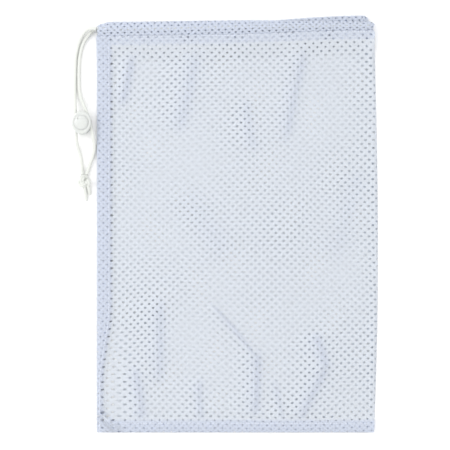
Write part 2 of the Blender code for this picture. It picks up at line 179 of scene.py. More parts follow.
# Routes of the drawcord's free ends, from the casing to the knot, and of its cut ends, in millimetres
LEFT_ROUTE = [
    (-153.5, 212.5, 8.5), (-157.6, 212.8, 8.3), (-161.6, 212.7, 6.7), (-166.0, 210.4, 4.4),
    (-170.2, 205.2, 2.6), (-173.2, 198.6, 1.9), (-175.4, 190.6, 1.8), (-177.0, 181.0, 1.8),
    (-177.6, 168.0, 1.8), (-177.8, 155.0, 1.8), (-177.8, 144.0, 2.2), (-177.4, 135.5, 4.6),
    (-176.9, 128.0, 6.8), (-176.4, 120.0, 7.0), (-176.3, 110.3, 7.0), (-176.0, 101.0, 7.0),
    (-175.6, 93.0, 6.6), (-174.7, 86.0, 4.4), (-173.2, 79.5, 2.2), (-171.5, 73.5, 1.8),
    (-170.4, 66.0, 1.8), (-169.9, 59.5, 2.2), (-169.6, 53.8, 3.2),
]
RIGHT_ROUTE = [
    (-153.5, 212.0, 2.8), (-157.2, 211.6, 2.7), (-160.3, 209.2, 2.2), (-163.2, 205.6, 1.8),
    (-166.6, 200.8, 1.8), (-169.4, 195.0, 1.8), (-171.3, 188.0, 1.8), (-172.6, 179.5, 1.8),
    (-173.2, 168.0, 1.8), (-173.2, 156.0, 1.8), (-172.6, 145.0, 1.9), (-170.6, 136.5, 3.4),
    (-167.6, 129.8, 6.0), (-164.9, 123.4, 7.0), (-162.5, 116.0, 7.0), (-160.6, 109.0, 7.0),
    (-158.7, 101.5, 7.0), (-157.2, 94.5, 6.4), (-156.4, 88.0, 3.9), (-156.5, 81.5, 2.0),
    (-158.0, 74.5, 1.8), (-160.4, 67.5, 1.8), (-162.8, 60.5, 2.2), (-164.8, 54.0, 3.2),
]
LONG_TAIL = [
    (-167.2, 42.0, 3.6), (-166.8, 38.0, 2.8), (-166.3, 34.0, 2.0), (-165.6, 29.5, 1.8),
    (-165.0, 25.4, 1.8),
]
SHORT_TAIL = [
    (-164.4, 43.0, 3.6), (-162.8, 39.9, 2.9), (-161.9, 36.0, 2.0), (-161.4, 32.0, 1.8),
]

# Folds of the upper cloth, in millimetres: start, end, width of the gentle flank, width of the steep
# flank (on the left as one looks from start to end) and height
FOLDS = [
    ((-28, -90), (20, -147), 8, 2.2, 2.5),
    ((21, -140), (14, -208), 14, 6.0, 3.2),
    ((-86, -84), (-92, -172), 15, 7.5, 2.4),
    ((-116, -158), (-107, -218), 12, 6.5, 3.0),
    ((84, -120), (92, -162), 14, 6.5, 3.2),
    ((93, -152), (68, -214), 13, 6.0, 3.1),
    ((-44, -170), (-41, -216), 10, 5.5, 2.2),
    ((40, -172), (45, -216), 8, 4.2, 1.7),
    ((-117, 184), (-131, 132), 11, 6.0, 3.4),
    ((-48, 188), (-70, 104), 17, 9.0, 2.2),
    ((68, 190), (52, 92), 14, 6.5, 2.5),
    ((6, 134), (16, 80), 12, 7.0, 1.6),
    ((124, 60), (104, -36), 19, 13.0, 0.9),
    ((-66, 30), (-18, -40), 20, 16.0, 0.9),
]

# Height of a fold whose steep flank gets the full painted shade, how far folds bend sideways, and, in
# shares of their length, how far they run past their ends and how long they take to fade out there
FULL_FOLD = 3.2 * MM
FOLD_BEND = 2.0 * MM
FOLD_OVERRUN = 0.12
FOLD_FADE = 0.3

# Waves over the cloth, each with its strength, its two rates in radians per metre and its phase: the
# upper cloth's slack, and the shifts in mm of the rows of holes in each layer along x and along y
SLACK_HEIGHT = 0.4 * MM
SLACK = [(0.55, 34, 11, 0.4), (0.5, -19, 29, 2.1), (0.28, 57, -31, 4.0), (0.26, 23, 63, 1.2)]
UPPER_SHIFT_X = [(1.6, 21, 9, 1.0), (1.0, -14, 25, 0.0)]
UPPER_SHIFT_Y = [(1.5, 17, -12, 2.0), (1.0, 30, 18, 0.0)]
LOWER_SHIFT_X = [(1.4, 16, -13, 3.0), (0.9, 27, 8, 0.0)]
LOWER_SHIFT_Y = [(1.4, -11, 19, 0.5), (0.9, 20, 24, 1.0)]

# Colours, linear
CLOTH_LIGHT = (0.768, 0.804, 0.850)
CLOTH_SHADE = (0.754, 0.790, 0.838)
# Painted shade: darker and bluer, for cloth that lies doubled, on the folds' steep flanks and in the
# crease's grooves
CLOTH_LAYERED_SHADE = (0.690, 0.744, 0.860)
CORD_CLEAN = (0.69, 0.705, 0.67)
CORD_DULL = (0.65, 0.665, 0.63)
# Painted shade between the strands of the braid
CORD_GROOVE_SHADE = (0.58, 0.595, 0.565)
THREAD_LIGHT = (0.77, 0.81, 0.89)
THREAD_SHADE = (0.70, 0.74, 0.85)
PLASTIC_LIGHT = (0.62, 0.635, 0.62)
PLASTIC_SHADE = (0.585, 0.605, 0.585)
STEEL_LIGHT = (0.68, 0.68, 0.70)
STEEL_SHADE = (0.55, 0.55, 0.57)
FLOOR_COLOUR = (0.93, 0.93, 0.93)


# ---- small helpers


def ramp(distance, length):
    """0 at no distance, rising smoothly to 1 at length."""
    t = np.clip(distance / length, 0.0, 1.0)
    return t * t * (3 - 2 * t)


def bell(distance, width):
    """1 at no distance, falling smoothly to about a third at one width."""
    return np.exp(-((distance / width) ** 2))


def waves(x, y, table):
    """Sum of the table's waves, each a strength, two rates and a phase."""
    return sum(strength * np.sin(a * x + b * y + phase) for strength, a, b, phase in table)


def unit(v):
    return v / np.maximum(np.linalg.norm(v, axis=-1, keepdims=True), 1e-12)


def distances_along(points):
    """Distance of each point from the first, along the line."""
    return np.concatenate([[0], np.cumsum(np.linalg.norm(np.diff(points, axis=0), axis=1))])


def mesh_object(name, verts, faces, material, smooth=True):
    mesh = bpy.data.meshes.new(name)
    mesh.from_pydata(np.asarray(verts).tolist(), [], [list(f) for f in faces])
    mesh.validate()
    if smooth:
        mesh.shade_smooth()
    mesh.materials.append(material)
    obj = bpy.data.objects.new(name, mesh)
    bpy.context.scene.collection.objects.link(obj)
    return obj


def set_attribute(obj, name, values):
    layer = obj.data.attributes.new(name, "FLOAT", "POINT")
    layer.data.foreach_set("value", values.astype(np.float32))


def curve_through(points, t):
    """Points of the Catmull-Rom curve through points, at the values t from 0 to len(points) - 1."""
    p = np.asarray(points, float)
    last = len(p) - 1
    i = np.minimum(t.astype(int), last - 1)
    f = (t - i)[:, None]
    a, b = p[np.maximum(i - 1, 0)], p[i]
    c, d = p[i + 1], p[np.minimum(i + 2, last)]
    return 0.5 * (
        2 * b + (c - a) * f + (2 * a - 5 * b + 4 * c - d) * f ** 2 + (3 * b - a - 3 * c + d) * f ** 3
    )


def evenly(points, spacing):
    """The same line with its points spacing apart, or a little less."""
    p = np.asarray(points, float)
    along = distances_along(p)
    count = max(2, math.ceil(along[-1] / spacing)) + 1
    at = np.linspace(0, along[-1], count)
    return np.stack([np.interp(at, along, p[:, k]) for k in range(3)], axis=1)


def smooth_route(route, spacing):
    """A smooth line through a route given in millimetres."""
    points = np.asarray(route, float) * MM
    return evenly(curve_through(points, np.linspace(0, len(points) - 1, 800)), spacing)


def line_length(points):
    return float(np.linalg.norm(np.diff(points, axis=0), axis=1).sum())


# ---- materials


def new_material(name, colour, roughness):
    made = bpy.data.materials.new(name)
    made.use_nodes = True
    shader = made.node_tree.nodes["Principled BSDF"]
    shader.inputs["Base Color"].default_value = (*colour, 1.0)
    shader.inputs["Roughness"].default_value = roughness
    return made, made.node_tree, shader


def feed(tree, value, socket):
    """Link another node's output to the socket, or set a plain value on it."""
    if isinstance(value, bpy.types.NodeSocket):
        tree.links.new(value, socket)
    elif socket.type == "RGBA":
        socket.default_value = (*value, 1.0)
    else:
        socket.default_value = value


def node_output(tree, kind, output, inputs, **settings):
    """The named output of a new node with the given settings and inputs."""
    node = tree.nodes.new("ShaderNode" + kind)
    for key, value in settings.items():
        setattr(node, key, value)
    for socket, value in inputs.items():
        feed(tree, value, node.inputs[socket])
    return node.outputs[output]


def object_coordinates(tree, scale=(1, 1, 1)):
    place = node_output(tree, "TexCoord", "Object", {})
    return node_output(tree, "Mapping", "Vector", {"Vector": place, "Scale": scale})


def attribute(tree, name):
    return node_output(tree, "Attribute", "Fac", {}, attribute_name=name)


def noise(tree, vector, scale, detail):
    return node_output(tree, "TexNoise", "Fac", {"Vector": vector, "Scale": scale, "Detail": detail})


def wave(tree, vector, scale, distortion):
    inputs = {"Vector": vector, "Scale": scale, "Distortion": distortion}
    return node_output(tree, "TexWave", "Fac", inputs, bands_direction="DIAGONAL")


def math_node(tree, operation, first, second):
    return node_output(tree, "Math", "Value", {0: first, 1: second}, operation=operation)


def crossed_waves(tree, scale, distortion):
    """Bright where two families of diagonal bands cross."""
    rising = wave(tree, object_coordinates(tree), scale, distortion)
    falling = wave(tree, object_coordinates(tree, scale=(-1, 1, 1)), scale, distortion)
    return math_node(tree, "MULTIPLY", rising, falling)


def mixed_colour(tree, factor, first, second):
    """From the first colour at 0 to the second at 1."""
    factor_in, first_in, second_in, colour_out = 0, 6, 7, 2
    inputs = {factor_in: factor, first_in: first, second_in: second}
    return node_output(tree, "Mix", colour_out, inputs, data_type="RGBA")


def ranged(tree, value, low, high):
    return node_output(tree, "MapRange", "Result", {"Value": value, "To Min": low, "To Max": high})


def finish_surface(tree, shader, colour, height, strength, depth):
    """Colour all over, and bumps of the given strength and depth."""
    feed(tree, colour, shader.inputs["Base Color"])
    inputs = {"Height": height, "Strength": strength, "Distance": depth}
    feed(tree, node_output(tree, "Bump", "Normal", inputs), shader.inputs["Normal"])


def scaled(colour, factor):
    return tuple(c * factor for c in colour)


def knit_material():
    """Polyester knit: crossed rows of small loops and a soft sheen, with painted shade: darker between the
    loops, and darker and bluer, dotted with shaded holes beneath, where the cloth lies doubled, on the
    folds' steep flanks and in the grooves of the corner's crease.
    """
    made, tree, shader = new_material("mesh_knit", CLOTH_LIGHT, 0.62)
    shader.inputs["Sheen Weight"].default_value = 0.1
    shader.inputs["Sheen Roughness"].default_value = 0.5
    place = object_coordinates(tree)
    loops = crossed_waves(tree, scale=560.0, distortion=0.6)
    fibres = noise(tree, place, scale=2600.0, detail=3.0)
    tint = noise(tree, place, scale=14.0, detail=2.0)
    layer_shade = attribute(tree, "layer_shade")
    colour = mixed_colour(tree, tint, CLOTH_LIGHT, CLOTH_SHADE)
    # Painted shade, darker and bluer where the cloth lies doubled, on the folds' steep flanks and in the
    # crease's grooves
    colour = mixed_colour(tree, layer_shade, colour, CLOTH_LAYERED_SHADE)
    # Deeper painted shade: dots of shaded holes in the cloth beneath, and the crease's deepest grooves
    deeper_shade = scaled(CLOTH_LAYERED_SHADE, 0.78)
    shaded_holes_beneath = math_node(tree, "MULTIPLY", crossed_waves(tree, scale=118.0, distortion=0.8), layer_shade)
    colour = mixed_colour(tree, shaded_holes_beneath, colour, deeper_shade)
    colour = mixed_colour(tree, math_node(tree, "SUBTRACT", layer_shade, 1.0), colour, deeper_shade)
    # Painted shade in the grooves between the loops
    colour = mixed_colour(tree, ranged(tree, loops, 0.35, 0.0), colour, scaled(CLOTH_SHADE, 0.97))
    height = math_node(tree, "ADD", loops, math_node(tree, "MULTIPLY", fibres, 0.4))
    finish_surface(tree, shader, colour, height, strength=0.55, depth=0.25 * MM)
    feed(tree, ranged(tree, fibres, 0.52, 0.74), shader.inputs["Roughness"])
    let_light_through(tree, shader, colour, CLOTH_LIGHT_THROUGH)
    return made


def let_light_through(tree, shader, colour, share):
    """Thin yarn passes some of the light that falls on it, scattered."""
    through = node_output(tree, "BsdfTranslucent", "BSDF", {"Color": colour})
    inputs = {0: share, 1: shader.outputs["BSDF"], 2: through}
    both = node_output(tree, "MixShader", "Shader", inputs)
    feed(tree, both, tree.nodes["Material Output"].inputs["Surface"])


def cord_material():
    """Braided polyester cord: off-white, with painted shade greyer between the strands."""
    made, tree, shader = new_material("cord_braid", CORD_CLEAN, 0.7)
    shader.inputs["Sheen Weight"].default_value = 0.3
    place = object_coordinates(tree)
    fibres = noise(tree, place, scale=3200.0, detail=3.0)
    dirt = noise(tree, place, scale=60.0, detail=3.0)
    colour = mixed_colour(tree, dirt, CORD_CLEAN, CORD_DULL)
    # Painted shade between the strands
    colour = mixed_colour(tree, attribute(tree, "groove_shade"), colour, CORD_GROOVE_SHADE)
    finish_surface(tree, shader, colour, fibres, strength=0.5, depth=0.2 * MM)
    feed(tree, ranged(tree, fibres, 0.6, 0.85), shader.inputs["Roughness"])
    return made


def thread_material():
    """Spun thread with a fine twist, painted lighter on its ridges and darker in its grooves as light and
    shade.
    """
    made, tree, shader = new_material("thread", THREAD_LIGHT, 0.5)
    shader.inputs["Sheen Weight"].default_value = 0.2
    twist = wave(tree, object_coordinates(tree), scale=900.0, distortion=0.3)
    # Painted light and shade: the colour follows the twist's bumps
    colour = mixed_colour(tree, twist, THREAD_SHADE, THREAD_LIGHT)
    finish_surface(tree, shader, colour, twist, strength=0.5, depth=0.1 * MM)
    return made


def plastic_material():
    """Milky moulded plastic with faint flow marks and handling scuffs."""
    made, tree, shader = new_material("milky_plastic", PLASTIC_LIGHT, 0.45)
    shader.inputs["IOR"].default_value = 1.49
    shader.inputs["Subsurface Weight"].default_value = 0.35
    shader.inputs["Subsurface Radius"].default_value = (3.0 * MM, 3.0 * MM, 2.8 * MM)
    shader.inputs["Subsurface Scale"].default_value = 1.0
    flow = noise(tree, object_coordinates(tree), scale=180.0, detail=2.0)
    scuffs = noise(tree, object_coordinates(tree, scale=(1, 6, 1)), scale=900.0, detail=4.0)
    colour = mixed_colour(tree, flow, PLASTIC_SHADE, PLASTIC_LIGHT)
    finish_surface(tree, shader, colour, scuffs, strength=0.12, depth=0.1 * MM)
    feed(tree, ranged(tree, scuffs, 0.36, 0.56), shader.inputs["Roughness"])
    return made


def steel_material():
    """Drawn spring wire."""
    made, tree, shader = new_material("spring_wire", STEEL_LIGHT, 0.3)
    shader.inputs["Metallic"].default_value = 1.0
    drawn = noise(tree, object_coordinates(tree, scale=(1, 1, 8)), scale=1500.0, detail=2.0)
    feed(tree, mixed_colour(tree, drawn, STEEL_SHADE, STEEL_LIGHT), shader.inputs["Base Color"])
    feed(tree, ranged(tree, drawn, 0.2, 0.45), shader.inputs["Roughness"])
    return made


def floor_material():
    made, _, shader = new_material("white_floor", FLOOR_COLOUR, 0.8)
    shader.inputs["Specular IOR Level"].default_value = 0.0
    return made


# ---- camera and light


def set_camera():
    """Straight down, with the bag a little right of the middle."""
    view_width = 490.5 * MM
    view_middle = (-13.6 * MM, -1.0 * MM)
    view_level = 6 * MM
    camera = bpy.data.cameras.new("camera")
    camera.lens = 100.0
    camera.sensor_width = 36.0
    camera.clip_start = 0.01
    camera.clip_end = 50.0
    distance = view_width * camera.lens / camera.sensor_width
    obj = bpy.data.objects.new("camera", camera)
    obj.location = (*view_middle, view_level + distance)
    bpy.context.scene.collection.objects.link(obj)
    bpy.context.scene.camera = obj


def soft_light(name, location, diameter, power):
    """A round lamp that points at the middle of the bag."""
    lamp = bpy.data.lights.new(name, "AREA")
    lamp.shape = "DISK"
    lamp.size = diameter
    lamp.energy = power
    obj = bpy.data.objects.new(name, lamp)
    obj.location = location
    obj.rotation_euler = (-Vector(location)).to_track_quat("-Z", "Y").to_euler()
    bpy.context.scene.collection.objects.link(obj)


def set_light():
    """Even white surroundings, a weak key light from the left and a weaker fill from the right."""
    world = bpy.data.worlds.new("studio")
    world.use_nodes = True
    background = world.node_tree.nodes["Background"]
    background.inputs["Color"].default_value = (1.0, 1.0, 1.0, 1.0)
    background.inputs["Strength"].default_value = 1.19
    scene = bpy.context.scene
    scene.world = world
    soft_light("key", location=(-1.5, 0.5, 1.3), diameter=1.3, power=13.5)
    soft_light("fill", location=(1.3, -0.6, 1.4), diameter=1.4, power=2.5)
    scene.view_settings.view_transform = "Standard"
    scene.view_settings.look = "None"
    scene.cycles.max_bounces = 40
    scene.cycles.diffuse_bounces = 20
    scene.cycles.transmission_bounces = 32


def add_floor():
    reach = 6.0
    verts = [(-reach, -reach, 0), (reach, -reach, 0), (reach, reach, 0), (-reach, reach, 0)]
    floor = mesh_object("floor", verts, [(0, 1, 2, 3)], floor_material(), smooth=False)
    floor.location.z = -0.05 * MM


# ---- cords


def normals_along(points):
    """Two normals at each point, carried along without twist."""
    tangents = unit(np.gradient(points, axis=0))
    normal = np.array([0.0, 0.0, 1.0])
    normals = []
    for tangent in tangents:
        normal = unit(normal - tangent * normal.dot(tangent))
        normals.append(normal)
    normals = np.array(normals)
    return normals, np.cross(tangents, normals)


def strip_faces(rings, sides):
    """Quads between rings of points that lie one after another."""
    return [
        (i * sides + k, i * sides + (k + 1) % sides, (i + 1) * sides + (k + 1) % sides, (i + 1) * sides + k)
        for i in range(rings - 1)
        for k in range(sides)
    ]


def end_faces(rings, sides):
    """Fans that close both ends, whose middles follow the last ring."""
    first = rings * sides
    top = (rings - 1) * sides
    faces = []
    for k in range(sides):
        following = (k + 1) % sides
        faces.append((first, following, k))
        faces.append((first + 1, top + k, top + following))
    return faces


def braided_tube(name, points, diameter, material, sides=28, relief=0.07, taper_end=0.0, start_at=0.0):
    """A braided cord along points: two families of strands cross over each other round it."""
    strands = 8
    lay_length = 7.5 * MM
    end_share = 0.62
    points = np.asarray(points, float)
    normals, binormals = normals_along(points)
    along = start_at + distances_along(points)
    theta = 2 * math.pi * np.arange(sides) / sides
    phase = 2 * math.pi * along[:, None] / lay_length * strands / 4
    right = np.abs(np.cos(strands / 2 * theta[None, :] + phase))
    left = np.abs(np.cos(strands / 2 * theta[None, :] - phase))
    ridge = np.maximum(right, left)
    radius = diameter / 2 * (1 - relief + relief * ridge * 1.4)
    if taper_end:
        left_over = along[-1] - along
        taper = np.sqrt(np.clip(left_over / taper_end, 0, 1))
        radius = radius * (end_share + (1 - end_share) * taper)[:, None]
    rings = (
        points[:, None, :]
        + normals[:, None, :] * (radius * np.cos(theta))[..., None]
        + binormals[:, None, :] * (radius * np.sin(theta))[..., None]
    )
    verts = list(rings.reshape(-1, 3)) + [points[0], points[-1]]
    faces = strip_faces(len(points), sides) + end_faces(len(points), sides)
    obj = mesh_object(name, verts, faces, material)
    # Weight of the painted shade between the strands, some on the end caps
    groove_shade = np.concatenate([np.clip(1.15 - ridge, 0, 1).ravel() ** 1.5, [0.3, 0.3]])
    set_attribute(obj, "groove_shade", groove_shade)
    return obj


def knot_strand(side):
    """Centre line of one strand of the overhand knot, pulled tight. side is -1 or 1."""
    size = 1.62 * MM
    flattened = 0.95
    half_gap = 1.15 * MM
    open_end = 0.35
    t = np.linspace(open_end, 2 * math.pi - open_end, 120)
    x = -(np.sin(t) + 2 * np.sin(2 * t))
    y = -(np.cos(t) - 2 * np.cos(2 * t))
    line = np.stack([x * size, y * size, -np.sin(3 * t) * size * flattened], axis=1)
    tangents = unit(np.gradient(line, axis=0))
    aside = unit(np.cross(tangents, [0.0, 0.0, 1.0]))
    return line + aside * side * half_gap + np.array(KNOT_CENTRE)


def make_free_end(name, route, material, spacing):
    """A free end of the drawcord, as a part above the lock and a part below it, each with its line."""
    line = smooth_route(route, spacing)
    split = int(np.argmin(np.abs(line[:, 1] - LOCK_CENTRE.y)))
    upper, lower = line[: split + 1], line[split:]
    parts = []
    for part, points, start in (("upper", upper, 0.0), ("lower", lower, line_length(upper))):
        tube = braided_tube(f"cord_{name}_{part}", points, CORD_DIAMETER, material, start_at=start)
        stand_for(f"cord_{name}")
        parts.append((tube, points))
    return parts


def stand_for(node):
    """The piece takes the node's place in the look: the node is hidden."""
    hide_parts(node)


def declare_cord(piece, line, with_pieces):
    tuple(line[0])
    line_length(line)
    [tuple(p) for p in line]
    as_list(with_pieces)


def make_cords(material):
    """The drawcord's two free ends, the knot that ties them together and the cut ends below it."""
    spacing = 0.6 * MM
    left = make_free_end("left", LEFT_ROUTE, material, spacing)
    right = make_free_end("right", RIGHT_ROUTE, material, spacing)
    strands = [
        braided_tube(f"knot_strand_{n}", knot_strand(side), CORD_DIAMETER * 0.9, material, relief=0.09)
        for n, side in (("a", -1), ("b", 1))
    ]
    tails = []
    for name, route in (("long", LONG_TAIL), ("short", SHORT_TAIL)):
        line = smooth_route(route, spacing)
        tails.append(braided_tube(f"cut_end_{name}", line, CORD_DIAMETER, material, taper_end=4 * MM))
        stand_for(f"tail_{name}")
    for strand in strands:
        stand_for("end_knot")
    for piece in strands + tails:
        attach(piece, "bag")
    for parts, on_knot in ((left, strands + tails), (right, ())):
        (upper, upper_line), (lower, lower_line) = parts
        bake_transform(upper)
        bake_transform(lower)
        declare_cord(upper, upper_line, ["lock_barrel"])
        declare_cord(lower, lower_line, on_knot)


# ---- the bag's shape


def right_edge(y):
    """Place of the folded side."""
    t = np.clip((y - BOTTOM) / (-2 * BOTTOM), 0, 1)
    return RIGHT - FOLD_BOW * (1 - np.sin(math.pi * t ** 0.85))


def casing_front_y(x):
    """Middle of the casing's upper run, which rises all along towards the folded side."""
    return CASING_FRONT_Y + CASING_FRONT_RISE * ramp(x + CASING_RISE_HALF, 2 * CASING_RISE_HALF)


def near_fold(x):
    """0 over the casing's first half, rising to 1 towards the folded side."""
    return ramp(x - NEAR_FOLD_X, NEAR_FOLD_LENGTH)


def casing_back_y(x):
    """Middle of the casing's lower run."""
    return CASING_BACK_Y + CASING_BACK_RISE * near_fold(x)


def casing_front_half(x):
    """Half the width of the casing's upper run, which is pulled narrower towards the folded side."""
    return CASING_HALF_WIDTH + (CASING_HALF_WIDTH_AT_FOLD - CASING_HALF_WIDTH) * near_fold(x)


def below_casing(x, y):
    """Distance from the casing's sewn line down to a point of the upper cloth."""
    return casing_front_y(x) - casing_front_half(x) - y


def seam_width(y):
    narrowed = ramp(SEAM_NARROWS_Y - y, SEAM_NARROWS_OVER)
    return SEAM_WIDTH + (SEAM_WIDTH_AT_CORNER - SEAM_WIDTH) * narrowed


def folds_at(x, y):
    """For each fold: how far across it points are, in flank widths, their share of it, and its height."""
    for (x0, y0), (x1, y1), gentle, steep, height in FOLDS:
        start = np.array([x0, y0]) * MM
        step = np.array([x1, y1]) * MM - start
        length = np.linalg.norm(step)
        step = step / length
        u = ((x - start[0]) * step[0] + (y - start[1]) * step[1]) / length
        d = (x - start[0]) * -step[1] + (y - start[1]) * step[0]
        d = d + FOLD_BEND * np.sin(3.0 * u + x0)
        across = np.where(d < 0, d / (gentle * MM), d / (steep * MM))
        ends = ramp(u + FOLD_OVERRUN, FOLD_FADE) * ramp(1 + FOLD_OVERRUN - u, FOLD_FADE)
        yield across, ends, height * MM


def fold_relief(x, y):
    """Height that the folds add to the upper cloth."""
    out = np.zeros_like(x)
    for across, ends, height in folds_at(x, y):
        out += height * np.exp(-np.abs(across) ** 1.6) * ends
    return out


def fold_flank_shade(x, y):
    """0 to about 1, most on the folds' steep flanks: the weight of the painted shade there, and of the
    holes pressed smaller.
    """
    out = np.zeros_like(x)
    for across, ends, height in folds_at(x, y):
        out = np.maximum(out, bell(across - 0.5, 0.8) * ends * height / FULL_FOLD)
    return out


def slow_relief(x, y):
    """Low waves of slack cloth."""
    return SLACK_HEIGHT * np.clip(waves(x, y, SLACK) + 0.5, 0, None)


def crease_place(x, y):
    """Distance across the diagonal crease of the sewn corner, in mm, and how much of it is there."""
    from_side = x - LEFT - CREASE_X
    from_hem = y - BOTTOM - HEM_WIDTH
    across = (from_side + from_hem) / math.sqrt(2)
    along = (from_side - from_hem) / math.sqrt(2)
    ends = ramp(along + CREASE_UP, CREASE_UP_FADE) * ramp(CREASE_DOWN - along, CREASE_DOWN_FADE)
    return across / MM, ends


def corner_crease(x, y):
    """Height of the diagonal crease where the side seam runs into the bottom seam."""
    across, ends = crease_place(x, y)
    return (2.0 * bell(across, 2.4) - 1.5 * bell(across + 4.6, 2.6)) * ends * MM


def along_crease(x, y):
    """0 to 1, most in the grooves on both sides of the corner's crease: the weight of the painted shade
    there, and of the holes pulled open.
    """
    across, ends = crease_place(x, y)
    return np.maximum(bell(across + 5.0, 2.4), 0.8 * bell(across - 2.0, 1.8)) * ends


def room_to_fold(x, y):
    """1 where the cloth is free to fold, falling to 0 at the seams and the folded side."""
    off_side_seam = ramp(x - LEFT - SEAM_WIDTH - MM, 2 * SIDE_EASE)
    off_folded_side = ramp(right_edge(y) - x - OUTLINE_EASE, FOLD_FREE)
    off_hem = ramp(y - BOTTOM - HEM_WIDTH + SEWN_INSIDE, HEM_WIDTH)
    return off_side_seam * off_folded_side * off_hem


def puckers(along, beside, height, pitch, reach, phase):
    """Small gathers that a seam's stitches draw into the cloth, at the distance beside from it."""
    strength = ramp(reach - np.abs(beside - PUCKER_PLACE), reach)
    return height * np.abs(np.sin(2 * math.pi * along / pitch + phase)) * strength


def seam_puckers(x, y):
    side = puckers(y, x - LEFT - seam_width(y), height=0.3 * MM, pitch=19 * MM, reach=8 * MM, phase=0.0)
    hem = puckers(x, y - BOTTOM - HEM_WIDTH, height=0.5 * MM, pitch=23 * MM, reach=9 * MM, phase=1.0)
    return side + hem


def folded_side_loft(x, y):
    """Swell of the cloth beside the folded side, where it springs back from the fold."""
    inwards = right_edge(y) - x
    swell = ramp(inwards, LOFT_RISE) * np.exp(-np.clip(inwards, 0, None) / LOFT_FALL)
    off_hem = ramp(y - BOTTOM, 2 * HEM_EASE)
    return LOFT * swell * off_hem * (0.8 + 0.3 * np.sin(38 * y + 0.6))


def stitch_grooves(from_left, from_hem, y):
    """Depth of the lines that the stitches pull down along both seams."""
    side = bell(from_left - seam_width(y) + SEWN_INSIDE, GROOVE_WIDTH)
    side = side * (from_hem > HEM_WIDTH - SEWN_INSIDE)
    hem = bell(from_hem - HEM_WIDTH + SEWN_INSIDE, GROOVE_WIDTH)
    return GROOVE_DEPTH * np.maximum(side, hem)


def upper_middle(x, y):
    """Height of the middle of the upper cloth."""
    from_left = x - LEFT
    from_hem = y - BOTTOM
    off_side = ramp(from_left - seam_width(y) + SEWN_INSIDE, SIDE_EASE)
    off_hem = ramp(from_hem - HEM_WIDTH + SEWN_INSIDE, HEM_EASE)
    relief = room_to_fold(x, y) * (fold_relief(x, y) + slow_relief(x, y))
    z = lower_flat(x, y) + LAYER_STEP + relief
    z = SEAM_MIDDLE + (z - SEAM_MIDDLE) * np.minimum(off_side, off_hem)
    z = z + seam_puckers(x, y) + folded_side_loft(x, y) + corner_crease(x, y)
    z = z - stitch_grooves(from_left, from_hem, y)
    off_outline = ramp(np.minimum(from_left, from_hem), OUTLINE_EASE)
    z = OUTLINE_MIDDLE + (z - OUTLINE_MIDDLE) * off_outline
    to_casing = ramp(UPPER_SLOPE + MM - below_casing(x, y), UPPER_SLOPE)
    return z + (CASING_UPPER_Z - z) * to_casing


def lower_middle(x, y):
    """Height of the middle of the lower cloth, which follows the upper cloth's folds a little."""
    return lower_flat(x, y) + 0.4 * room_to_fold(x, y) * fold_relief(x, y)


def lower_flat(x, y):
    """Height of the middle of the lower cloth without folds, lifted at the casing and the outline."""
    lift = (CASING_LOW_Z - LOWER_MIDDLE) * ramp(y - LOWER_SLOPE_Y, LOWER_SLOPE)
    ripple = RIPPLE * (1 + np.sin(45 * x + 20 * y) * np.sin(-24 * x + 51 * y))
    turned_up = TURN_UP * (1 - ramp(np.minimum(x - LEFT, y - BOTTOM), OUTLINE_EASE))
    return LOWER_MIDDLE + ripple + lift + turned_up


# ---- knitted mesh


RING = np.array([(1, 0), (0.5, 0.5), (0, 1), (-0.5, 0.5), (-1, 0), (-0.5, -0.5), (0, -1), (0.5, -0.5)])
CORNERS = len(RING)


def staggered_cells(extent, pitch):
    """Columns and rows of a staggered grid of holes that covers the extent at any turn."""
    s0, s1, t0, t1 = extent
    reach = math.hypot(s1 - s0, t1 - t0) / 2 + 4 * max(pitch)
    columns, rows = math.ceil(reach / pitch[0]), math.ceil(reach / pitch[1])
    m, n = np.meshgrid(np.arange(-columns, columns + 1), np.arange(-rows, rows + 1))
    staggered = (m + n) % 2 == 0
    return m[staggered], n[staggered]


def band(first, second):
    """Quads between two rings of points of every cell."""
    return np.stack([
        first, np.roll(first, -1, axis=1), np.roll(second, -1, axis=1), second,
    ], axis=-1).reshape(-1, 4)


def outline_band(top, total):
    """Quads that join the upper and lower points along the edges that only one cell has."""
    edges = np.stack([top, np.roll(top, -1, axis=1)], axis=-1).reshape(-1, 2)
    _, inverse, counts = np.unique(np.sort(edges, axis=1), axis=0, return_inverse=True, return_counts=True)
    start, end = edges[counts[inverse.ravel()] == 1].T
    return np.stack([end, start, start + total, end + total], axis=-1)


def no_shift(s, t):
    return np.zeros_like(s), np.zeros_like(s)


def everywhere(s, t):
    return np.ones_like(s)


